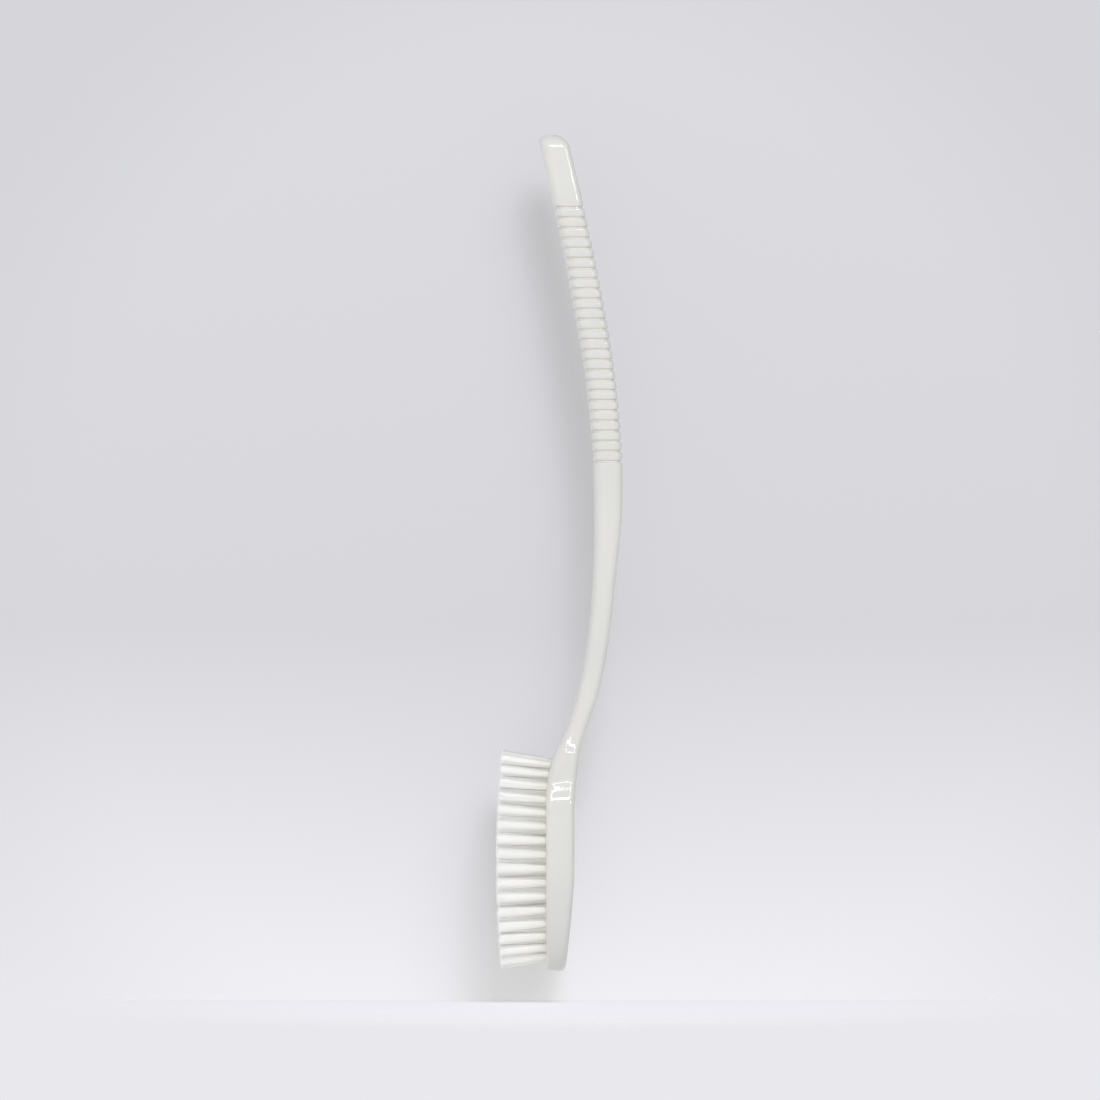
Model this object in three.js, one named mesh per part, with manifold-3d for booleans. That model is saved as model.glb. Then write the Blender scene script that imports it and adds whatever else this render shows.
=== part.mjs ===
// A long-handled body brush, upright with its tip up: one moulded plastic body with a
// ribbed grip, a bowed shaft and an oval head, nylon tufts set in the head's flat face,
// and a pressed metal anchor across the root of every tuft.
// Millimetres, +Z up along the handle, bristles towards -X, the brush's back towards +X.
// Heights are measured from the head's toe and depths from its bristle face; the finished
// group is then shifted so that the middle of the hanging hole is the origin.
import Module from 'manifold-3d';
import * as THREE from 'three';
import { mergeVertices } from 'three/addons/utils/BufferGeometryUtils.js';

const { degToRad, lerp, smoothstep } = THREE.MathUtils;

// Overall length, toe to tip
const LENGTH = 400;

// Head: an oval slab with rounded edges that thins towards its toe
const HEAD_HALF_WIDTH = 26;
const HEAD_WIDEST = 52;
const HEAD_UPPER_REACH = 58;
const HEAD_THICKNESS = 13.5;
const FLAT_BACK_TOP = 78;
const FACE_FILLET = 2.2;
const BACK_FILLET = 2.6;
const TOE_THICKNESS = 9.2;
const TOE_TAPER_START = 46;
const TOE_TAPER_POWER = 1.3;

// Shoulder, from the top of the head's flat back to the neck: how far up each station is,
// and its share of the head's middle depth, thickness and width, against the neck's
const SHOULDER_RISE = 40;
const SHOULDER = [
  { up: 0.3, middle: 0.91, thickness: 1.08, width: 0.74 },
  { up: 0.5, middle: 0.78, thickness: 0.94, width: 0.47 },
  { up: 0.65, middle: 0.63, thickness: 0.69, width: 0.25 },
  { up: 0.8, middle: 0.37, thickness: 0.25, width: 0.1 },
];

// Handle, from the neck to the tip: how far up each station is, its share of the greatest
// bow towards the back, and how much it has swelled from neck to grip
const BOW = 29.75;
const NECK_THICKNESS = 9.9;
const NECK_HALF_WIDTH = 7.1;
const GRIP_THICKNESS = 14.7;
const GRIP_HALF_WIDTH = 10;
const HANDLE = [
  { up: 0, bow: 0.51, swell: 0 },
  { up: 0.04, bow: 0.64, swell: 0.07 },
  { up: 0.1, bow: 0.77, swell: 0.11 },
  { up: 0.17, bow: 0.87, swell: 0.11 },
  { up: 0.24, bow: 0.93, swell: 0.2 },
  { up: 0.31, bow: 0.98, swell: 0.5 },
  { up: 0.38, bow: 1, swell: 0.75 },
  { up: 0.47, bow: 0.98, swell: 0.85 },
  { up: 0.59, bow: 0.87, swell: 0.95 },
  { up: 0.73, bow: 0.65, swell: 1 },
  { up: 0.88, bow: 0.36, swell: 0.92 },
  { up: 1, bow: 0.1, swell: 0.84 },
];
const HANDLE_FRONT_FILLET = 5;
const HANDLE_BACK_FILLET = 3.2;

// Rounded tip
const TIP_FRONT_ROUND = 4.2;
const TIP_BACK_ROUND = 6.5;
const TIP_SIDE_ROUND = 7;

// Grip ribs: level grooves all round the handle, below a plain end
const PLAIN_END = 35;
const GROOVE_COUNT = 26;
const GROOVE_PITCH = 4.85;
const GROOVE_DEPTH = 0.9;
const GROOVE_MOUTH = 1.7;
const GROOVE_FLOOR = 0.7;

// Hanging hole through the plain end, front to back
const HANG_HOLE_RADIUS = 3.5;
const HANG_HOLE_FROM_TIP = 12;

// Tufts: two oval rings round a centre row
const OUTER_TUFTS = 33;
const MIDDLE_TUFTS = 17;
const CENTRE_TUFTS = 6;
const FIELD_RISE = 22;
const RING_GAP_ACROSS = 9;
const RING_GAP_ALONG = 10;

// Strands: one up the middle of each tuft and a ring round it, splayed to the trimmed tips
const STRANDS_IN_RING = 7;
const STRAND_RADIUS = 0.5;
const STRAND_ROOT_DEPTH = 0.6;
const TUFT_ROOT_RADIUS = 1.35;
const TUFT_TIP_RADIUS = 2.6;
const TUFT_LENGTH = 24.2;
const TRIM_CROWN = 2;
const FLARE_MIDDLE = -4;
const FLARE_ALONG = 7.2;
const FLARE_ACROSS = 8;

// Slices of the face that carry the strands, flush in a shallow oval seat
const CLEARANCE = 0.3;
const SEAT_DEPTH = 2.4;
const SEAT_EDGE = 0.25;
const FACE_RIM = 1.4;

// Blind tuft holes under the slices, with an anchor plate at the bottom of each
const HOLE_BACK_WALL = 1.6;
const ANCHOR_DEPTH = 1.9;
const ANCHOR_THICKNESS = 0.5;
const ANCHOR_LENGTH = 3;

// Smoothness: sections of the loft, steps of its corners and sides of round cuts
const CORNER_STEPS = 4;
const DEEPEST_CORNER = 0.45;
const WIDEST_CORNER = 0.95;
const TOE_SECTIONS = 10;
const TOE_END_ANGLE = 0.06;
const UPPER_HEAD_SECTIONS = 2;
const SHOULDER_SECTIONS = 11;
const SHAFT_SECTIONS = 12;
const PLAIN_END_SECTIONS = 4;
const TIP_SECTIONS = 7;
const SLOPE_SPAN = 1;
const OVAL_SIDES = 48;
const HANG_HOLE_SIDES = 24;
const HOLE_SIDES = 8;
const STRAND_SIDES = 3;

// Sizes and places that follow from those above
const neckHeight = FLAT_BACK_TOP + SHOULDER_RISE;
const neckMiddle = BOW * HANDLE[0].bow;
const topGroove = LENGTH - PLAIN_END;
const lowestGroove = topGroove - (GROOVE_COUNT - 1) * GROOVE_PITCH;
const hangHoleHeight = LENGTH - HANG_HOLE_FROM_TIP;
const seatMargin = TUFT_ROOT_RADIUS + STRAND_RADIUS + CLEARANCE + SEAT_EDGE;
const fieldMargin = seatMargin + FACE_FILLET + FACE_RIM;
const fieldTop = FLAT_BACK_TOP + FIELD_RISE;
const fieldHeight = (fieldTop + fieldMargin) / 2;
const holeDepth = TOE_THICKNESS - HOLE_BACK_WALL;
const holeRadius = (ANCHOR_LENGTH / 2 + CLEARANCE) / Math.cos(Math.PI / HOLE_SIDES);
const outerRing = { halfWidth: HEAD_HALF_WIDTH - fieldMargin, halfLength: fieldTop - fieldHeight };
const middleRing = insideRing(outerRing, RING_GAP_ACROSS, RING_GAP_ALONG);
const centreRow = { halfWidth: 0, halfLength: middleRing.halfLength - RING_GAP_ALONG };
const seat = insideRing(outerRing, -seatMargin, -seatMargin);
const outerParting = betweenRings(outerRing, middleRing);
const middleParting = betweenRings(middleRing, centreRow);

const wasm = await Module();
wasm.setup();

const bodyPlastic = new THREE.MeshStandardMaterial({ color: 0xf1f0ec, roughness: 0.25, metalness: 0 });
const nylon = new THREE.MeshStandardMaterial({ color: 0xf6f6f4, roughness: 0.5, metalness: 0 });
const anchorMetal = new THREE.MeshStandardMaterial({ color: 0xb8ab86, roughness: 0.4, metalness: 0.9 });

function insideRing({ halfWidth, halfLength }, across, along) {
  return { halfWidth: halfWidth - across, halfLength: halfLength - along };
}

function betweenRings(larger, smaller) {
  return {
    halfWidth: (larger.halfWidth + smaller.halfWidth) / 2,
    halfLength: (larger.halfLength + smaller.halfLength) / 2,
  };
}

// Turns a closed geometry into a solid that can be joined and cut.
function toSolid(geometry) {
  geometry.deleteAttribute('normal');
  geometry.deleteAttribute('uv');
  const merged = mergeVertices(geometry);
  return new wasm.Manifold(new wasm.Mesh({
    numProp: 3,
    vertProperties: new Float32Array(merged.attributes.position.array),
    triVerts: new Uint32Array(merged.index.array),
  }));
}

function toMesh(solid, name, material) {
  const { vertProperties, triVerts } = solid.getMesh();
  const geometry = new THREE.BufferGeometry();
  geometry.setAttribute('position', new THREE.BufferAttribute(vertProperties, 3));
  geometry.setIndex(new THREE.BufferAttribute(triVerts, 1));
  geometry.computeVertexNormals();
  const mesh = new THREE.Mesh(geometry, material);
  mesh.name = name;
  return mesh;
}

function headHalfWidthAt(height) {
  const reach = height < HEAD_WIDEST ? HEAD_WIDEST : HEAD_UPPER_REACH;
  return HEAD_HALF_WIDTH * Math.sqrt(1 - ((height - HEAD_WIDEST) / reach) ** 2);
}

// Stations in real sizes: the top of the head's flat back, then the shoulder and handle.
function bodyStations() {
  const flatBack = {
    height: FLAT_BACK_TOP,
    middle: HEAD_THICKNESS / 2,
    thickness: HEAD_THICKNESS,
    halfWidth: headHalfWidthAt(FLAT_BACK_TOP),
  };
  const shoulder = SHOULDER.map(({ up, middle, thickness, width }) => ({
    height: lerp(FLAT_BACK_TOP, neckHeight, up),
    middle: lerp(neckMiddle, flatBack.middle, middle),
    thickness: lerp(NECK_THICKNESS, HEAD_THICKNESS, thickness),
    halfWidth: lerp(NECK_HALF_WIDTH, flatBack.halfWidth, width),
  }));
  const handle = HANDLE.map(({ up, bow, swell }) => ({
    height: lerp(neckHeight, LENGTH, up),
    middle: BOW * bow,
    thickness: lerp(NECK_THICKNESS, GRIP_THICKNESS, swell),
    halfWidth: lerp(NECK_HALF_WIDTH, GRIP_HALF_WIDTH, swell),
  }));
  return [flatBack, ...shoulder, ...handle];
}

// A smooth function of height through one measure of the stations.
function alongHandle(stations, measure) {
  const heights = stations.map((station) => station.height);
  const curve = new THREE.CubicInterpolant(heights, stations.map(measure), 1, [0]);
  curve.settings = { endingStart: THREE.ZeroSlopeEnding, endingEnd: THREE.ZeroCurvatureEnding };
  return (height) => curve.evaluate(height)[0];
}

const stations = bodyStations();
const handleFront = alongHandle(stations, ({ middle, thickness }) => middle - thickness / 2);
const handleBack = alongHandle(stations, ({ middle, thickness }) => middle + thickness / 2);
const handleHalfWidth = alongHandle(stations, ({ halfWidth }) => halfWidth);

function frontAt(height) {
  return height <= FLAT_BACK_TOP ? 0 : handleFront(height);
}

function backAt(height) {
  if (height > FLAT_BACK_TOP) return handleBack(height);
  const taper = Math.max(0, TOE_TAPER_START - height) / TOE_TAPER_START;
  return lerp(HEAD_THICKNESS, TOE_THICKNESS, taper ** TOE_TAPER_POWER);
}

function halfWidthAt(height) {
  return height > FLAT_BACK_TOP ? handleHalfWidth(height) : headHalfWidthAt(height);
}

// How far a quarter round of this radius draws a wall in, this far from the wall's end.
function roundInset(radius, fromEnd) {
  const beyond = Math.max(0, radius - fromEnd);
  return radius - Math.sqrt(radius ** 2 - beyond ** 2);
}

// Width of a rounded edge across a level section: wider where the outline slants inwards.
function slantFactor(height) {
  const low = Math.max(height - SLOPE_SPAN / 2, 0);
  const high = Math.min(height + SLOPE_SPAN / 2, LENGTH);
  return Math.hypot(1, (halfWidthAt(high) - halfWidthAt(low)) / (high - low));
}

// The points of the level section at one height, drawn in all round by a groove's depth.
function sectionAt(height, groove = 0) {
  const fromTip = LENGTH - height;
  const frontInset = roundInset(FACE_FILLET, height) + roundInset(TIP_FRONT_ROUND, fromTip);
  const backInset = roundInset(BACK_FILLET, height) + roundInset(TIP_BACK_ROUND, fromTip);
  const sideInset = roundInset(TIP_SIDE_ROUND, fromTip);
  const front = frontAt(height) + frontInset + groove;
  const back = backAt(height) - backInset - groove;
  const halfWidth = halfWidthAt(height) - sideInset - groove;
  const blend = smoothstep(height, FLAT_BACK_TOP, neckHeight);
  const frontFillet = lerp(FACE_FILLET, HANDLE_FRONT_FILLET, blend);
  const backFillet = lerp(BACK_FILLET, HANDLE_BACK_FILLET, blend);
  const slant = slantFactor(height);
  const deepest = (back - front) * DEEPEST_CORNER;
  const widest = halfWidth * WIDEST_CORNER;
  const corners = [
    { edge: back, inward: -1, side: 1, fillet: backFillet },
    { edge: front, inward: 1, side: 1, fillet: frontFillet },
    { edge: front, inward: 1, side: -1, fillet: frontFillet },
    { edge: back, inward: -1, side: -1, fillet: backFillet },
  ];
  return corners.flatMap(({ edge, inward, side, fillet }, quarter) => {
    const depth = Math.min(fillet, deepest);
    const width = Math.min(fillet * slant, widest);
    return Array.from({ length: CORNER_STEPS + 1 }, (_, step) => {
      const angle = (quarter + step / CORNER_STEPS) * Math.PI / 2;
      const x = edge + inward * depth + depth * Math.cos(angle);
      const y = side * (halfWidth - width) + width * Math.sin(angle);
      return [x, y, height];
    });
  });
}

// Skins a stack of sections and closes both ends.
function loft(sections) {
  const count = sections[0].length;
  const index = [];
  for (let level = 0; level < sections.length - 1; level++) {
    for (let point = 0; point < count; point++) {
      const a = level * count + point;
      const b = level * count + (point + 1) % count;
      index.push(a, b, b + count, a, b + count, a + count);
    }
  }
  const top = (sections.length - 1) * count;
  for (let point = 1; point < count - 1; point++) {
    index.push(0, point + 1, point);
    index.push(top, top + point, top + point + 1);
  }
  const geometry = new THREE.BufferGeometry();
  geometry.setAttribute('position', new THREE.Float32BufferAttribute(sections.flat(2), 3));
  geometry.setIndex(index);
  return geometry;
}

// Evenly spaced values after the first one, up to and with the last.
function stepsUpTo(first, last, count) {
  return Array.from({ length: count }, (_, i) => lerp(first, last, (i + 1) / count));
}

function toeHeights() {
  const angles = [TOE_END_ANGLE, ...stepsUpTo(0, Math.PI / 2, TOE_SECTIONS)];
  return angles.map((angle) => HEAD_WIDEST * (1 - Math.cos(angle)));
}

function grooveSections() {
  const middles = Array.from({ length: GROOVE_COUNT }, (_, i) => lowestGroove + i * GROOVE_PITCH);
  return middles.flatMap((middle) => [
    sectionAt(middle - GROOVE_MOUTH / 2),
    sectionAt(middle - GROOVE_FLOOR / 2, GROOVE_DEPTH),
    sectionAt(middle + GROOVE_FLOOR / 2, GROOVE_DEPTH),
    sectionAt(middle + GROOVE_MOUTH / 2),
  ]);
}

function tipHeights() {
  const roundStart = LENGTH - TIP_SIDE_ROUND;
  const angles = stepsUpTo(0, Math.PI / 2, TIP_SECTIONS);
  return [
    ...stepsUpTo(topGroove + GROOVE_MOUTH / 2, roundStart, PLAIN_END_SECTIONS),
    ...angles.map((angle) => roundStart + TIP_SIDE_ROUND * Math.sin(angle)),
  ];
}

// The whole moulding before anything is cut out of it, moved back by a depth.
function bodyBlank(moved = 0) {
  const heights = [
    ...toeHeights(),
    ...stepsUpTo(HEAD_WIDEST, FLAT_BACK_TOP, UPPER_HEAD_SECTIONS),
    ...stepsUpTo(FLAT_BACK_TOP, neckHeight, SHOULDER_SECTIONS),
    ...stepsUpTo(neckHeight, lowestGroove - GROOVE_MOUTH, SHAFT_SECTIONS),
  ];
  const geometry = loft([
    ...heights.map((height) => sectionAt(height)),
    ...grooveSections(),
    ...tipHeights().map((height) => sectionAt(height)),
  ]);
  geometry.translate(moved, 0, 0);
  return toSolid(geometry);
}

// An oval block through the head from well in front of its face to its middle.
function ovalBlock({ halfWidth, halfLength }, shrink = 0) {
  const outline = new THREE.Shape();
  outline.absellipse(0, 0, halfWidth - shrink, halfLength - shrink, 0, 2 * Math.PI);
  const geometry = new THREE.ExtrudeGeometry(outline, {
    depth: 2 * HEAD_THICKNESS,
    bevelEnabled: false,
    curveSegments: OVAL_SIDES / 2,
  });
  const acrossUpInwards = new THREE.Matrix4().makeBasis(
    new THREE.Vector3(0, 1, 0),
    new THREE.Vector3(0, 0, 1),
    new THREE.Vector3(1, 0, 0),
  );
  geometry.applyMatrix4(acrossUpInwards);
  geometry.translate(-HEAD_THICKNESS, 0, fieldHeight);
  return toSolid(geometry);
}

// A round cutter along X between two depths.
function crossCutter(radius, sides, fromDepth, toDepth, across, height) {
  const geometry = new THREE.CylinderGeometry(radius, radius, toDepth - fromDepth, sides);
  geometry.rotateY(Math.PI / sides);
  geometry.rotateZ(Math.PI / 2);
  geometry.translate((fromDepth + toDepth) / 2, across, height);
  return toSolid(geometry);
}

function ringTufts({ halfWidth, halfLength }, count) {
  const oval = new THREE.EllipseCurve(0, 0, halfWidth, halfLength);
  return oval.getSpacedPoints(count).slice(0, count).map(({ x, y }) => ({ across: x, along: y }));
}

function rowTufts({ halfLength }, count) {
  const pitch = 2 * halfLength / (count - 1);
  return Array.from({ length: count }, (_, i) => ({ across: 0, along: i * pitch - halfLength }));
}

// One strand of a tuft, from inside its slice to the trimmed tips.
function strand({ across, along }, offsetY, offsetZ) {
  const face = frontAt(fieldHeight + along);
  const tipDepth = TRIM_CROWN * (along / outerRing.halfLength) ** 2 - TUFT_LENGTH;
  const reach = face - tipDepth;
  const splay = TUFT_TIP_RADIUS / TUFT_ROOT_RADIUS;
  const flareAcross = Math.tan(degToRad(FLARE_ACROSS * across / outerRing.halfWidth));
  const flareShare = (along - FLARE_MIDDLE) / outerRing.halfLength;
  const flareAlong = Math.tan(degToRad(FLARE_ALONG * flareShare));
  const root = new THREE.Vector3(
    face + STRAND_ROOT_DEPTH,
    across + offsetY,
    fieldHeight + along + offsetZ,
  );
  const tip = new THREE.Vector3(
    tipDepth,
    across + offsetY * splay + reach * flareAcross,
    fieldHeight + along + offsetZ * splay + reach * flareAlong,
  );
  const section = new THREE.Shape(Array.from({ length: STRAND_SIDES }, (_, i) => {
    const angle = i * 2 * Math.PI / STRAND_SIDES;
    return new THREE.Vector2(STRAND_RADIUS * Math.cos(angle), STRAND_RADIUS * Math.sin(angle));
  }));
  const geometry = new THREE.ExtrudeGeometry(section, { depth: root.distanceTo(tip), bevelEnabled: false });
  const direction = tip.clone().sub(root).normalize();
  const turn = new THREE.Quaternion().setFromUnitVectors(new THREE.Vector3(0, 0, 1), direction);
  geometry.applyQuaternion(turn);
  geometry.translate(root.x, root.y, root.z);
  return toSolid(geometry);
}

function strandsOfTuft(tuft) {
  const ring = Array.from({ length: STRANDS_IN_RING }, (_, i) => {
    const angle = i * 2 * Math.PI / STRANDS_IN_RING;
    return strand(tuft, TUFT_ROOT_RADIUS * Math.cos(angle), TUFT_ROOT_RADIUS * Math.sin(angle));
  });
  return [strand(tuft, 0, 0), ...ring];
}

function tuftedSlice(backing, tufts, name) {
  const solid = tufts.flatMap(strandsOfTuft).reduce((joined, piece) => joined.add(piece), backing);
  return toMesh(solid, name, nylon);
}

// The blind hole for one tuft, from above the seat's floor.
function tuftHole({ across, along }) {
  const height = fieldHeight + along;
  const face = frontAt(height);
  return crossCutter(holeRadius, HOLE_SIDES, face, face + holeDepth, across, height);
}

function anchorMesh({ across, along }, number) {
  const height = fieldHeight + along;
  const bottom = frontAt(height) + holeDepth - CLEARANCE;
  const geometry = new THREE.BoxGeometry(ANCHOR_DEPTH, ANCHOR_THICKNESS, ANCHOR_LENGTH);
  const mesh = new THREE.Mesh(geometry, anchorMetal);
  mesh.name = `tuft_anchor_${String(number).padStart(2, '0')}`;
  mesh.position.set(bottom - ANCHOR_DEPTH / 2, across, height);
  return mesh;
}

const outerTufts = ringTufts(outerRing, OUTER_TUFTS);
const middleTufts = ringTufts(middleRing, MIDDLE_TUFTS);
const centreTufts = rowTufts(centreRow, CENTRE_TUFTS);
const allTufts = [...outerTufts, ...middleTufts, ...centreTufts];

// Moulded body: the blank less the seat, the tuft holes and the hanging hole
const blank = bodyBlank();
const hangFront = frontAt(hangHoleHeight);
const hangBack = backAt(hangHoleHeight);
const hangCutter = crossCutter(
  HANG_HOLE_RADIUS,
  HANG_HOLE_SIDES,
  hangFront - HANG_HOLE_RADIUS,
  hangBack + HANG_HOLE_RADIUS,
  0,
  hangHoleHeight,
);
const seatCutter = ovalBlock(seat).subtract(bodyBlank(SEAT_DEPTH));
const cutters = [seatCutter, hangCutter, ...allTufts.map(tuftHole)];
const body = cutters.reduce((solid, cutter) => solid.subtract(cutter), blank);

// Slices of the face that fill the seat, parted between the rings, with their strands
const slice = blank.intersect(ovalBlock(seat, CLEARANCE)).subtract(bodyBlank(SEAT_DEPTH - CLEARANCE));
const outerSlice = slice.subtract(ovalBlock(outerParting));
const middleSlice = slice.intersect(ovalBlock(outerParting, CLEARANCE)).subtract(ovalBlock(middleParting));
const centreSlice = slice.intersect(ovalBlock(middleParting, CLEARANCE));

const tufts = new THREE.Group();
tufts.add(
  tuftedSlice(outerSlice, outerTufts, 'outer_ring_tufts'),
  tuftedSlice(middleSlice, middleTufts, 'middle_ring_tufts'),
  tuftedSlice(centreSlice, centreTufts, 'centre_row_tufts'),
);

const anchors = new THREE.Group();
anchors.add(...allTufts.map((tuft, i) => anchorMesh(tuft, i + 1)));

const brush = new THREE.Group();
brush.name = 'body_brush';
brush.add(toMesh(body, 'handle_body', bodyPlastic), tufts, anchors);
brush.position.set(-(hangFront + hangBack) / 2, 0, -hangHoleHeight);

export default brush;
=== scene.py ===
"""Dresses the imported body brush: one moulded white body, its nylon tufts and their brass anchors.

Sizes are millimetres: depth from the bristle face towards the back, across from the middle of the
head, and height from the toe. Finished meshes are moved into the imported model's frame, in metres.
"""

import logging
import math
import random
from bisect import bisect_right
from dataclasses import dataclass, field
from enum import Enum
from itertools import islice, pairwise

import bmesh
import bpy
from mathutils import Matrix, Vector


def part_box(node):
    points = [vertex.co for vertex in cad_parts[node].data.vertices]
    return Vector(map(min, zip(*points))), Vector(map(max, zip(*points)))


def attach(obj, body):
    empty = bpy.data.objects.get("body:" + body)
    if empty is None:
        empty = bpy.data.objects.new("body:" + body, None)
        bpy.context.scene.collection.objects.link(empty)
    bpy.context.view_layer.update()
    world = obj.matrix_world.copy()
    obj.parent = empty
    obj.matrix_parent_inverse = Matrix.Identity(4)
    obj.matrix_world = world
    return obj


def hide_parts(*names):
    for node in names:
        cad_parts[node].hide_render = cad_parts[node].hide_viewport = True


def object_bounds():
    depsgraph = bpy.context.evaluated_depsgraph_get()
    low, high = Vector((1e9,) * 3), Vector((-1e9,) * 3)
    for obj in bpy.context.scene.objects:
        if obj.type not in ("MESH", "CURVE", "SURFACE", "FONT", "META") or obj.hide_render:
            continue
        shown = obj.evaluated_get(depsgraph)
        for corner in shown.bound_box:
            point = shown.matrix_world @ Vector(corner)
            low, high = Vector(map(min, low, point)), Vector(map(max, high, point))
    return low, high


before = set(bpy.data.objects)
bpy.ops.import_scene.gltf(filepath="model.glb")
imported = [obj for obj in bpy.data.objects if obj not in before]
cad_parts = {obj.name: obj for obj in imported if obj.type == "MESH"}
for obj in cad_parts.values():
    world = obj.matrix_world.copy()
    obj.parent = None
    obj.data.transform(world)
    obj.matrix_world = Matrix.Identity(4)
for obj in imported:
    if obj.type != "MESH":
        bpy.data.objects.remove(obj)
cad_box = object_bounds()

log = logging.getLogger("body_brush")

BODY = "root"
MILLIMETRE = 0.001
QUARTER_TURN = math.pi / 2
GOLDEN_ANGLE = math.pi * (3 - math.sqrt(5))
UNIT = (0.0, 1.0)
SEEN_RAYS = ("Is Camera Ray", "Is Glossy Ray", "Is Transmission Ray")

# The colour sockets of a mix node, which share their names with others.
MIX_SHARE, MIX_FIRST, MIX_LAST, MIX_RESULT = 0, 6, 7, 2

Pair = tuple[float, float]
Triple = tuple[float, float, float]
Colour = tuple[float, float, float, float]


class Slot(Enum):
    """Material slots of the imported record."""

    PLASTIC = "white_plastic"
    NYLON = "white_nylon"


class Mark(Enum):
    """Values kept on the vertices of a mesh for its finish to read."""

    GROOVE = "groove"
    ALONG = "along"
    BUNDLE = "bundle"


def lerp(first: float, last: float, share: float) -> float:
    """Value at a share of the way from first to last."""
    return first + (last - first) * share


def smoothstep(low: float, high: float, value: float) -> float:
    """Share from 0 at low to 1 at high that starts and stops gently."""
    share = min(max((value - low) / (high - low), 0.0), 1.0)
    return share * share * (3 - 2 * share)


def steps_up_to(first: float, last: float, count: int) -> list[float]:
    """Evenly spaced values after first, up to and with last."""
    return [lerp(first, last, (step + 1) / count) for step in range(count)]


def mesh_from(bm: bmesh.types.BMesh, name: str) -> bpy.types.Mesh:
    """Makes a finished bmesh a mesh and frees it.

    Args:
        bm: The finished shape.
        name: The mesh's name.

    Returns:
        The new mesh.
    """
    mesh = bpy.data.meshes.new(name)
    bm.to_mesh(mesh)
    bm.free()
    return mesh


def piece_from(bm: bmesh.types.BMesh, name: str) -> bpy.types.Object:
    """Makes a finished bmesh an object of the scene and frees it.

    Args:
        bm: The finished shape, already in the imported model's frame.
        name: The piece's name.

    Returns:
        The new object, at the origin.
    """
    piece = bpy.data.objects.new(name, mesh_from(bm, name))
    bpy.context.scene.collection.objects.link(piece)
    return piece


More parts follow.
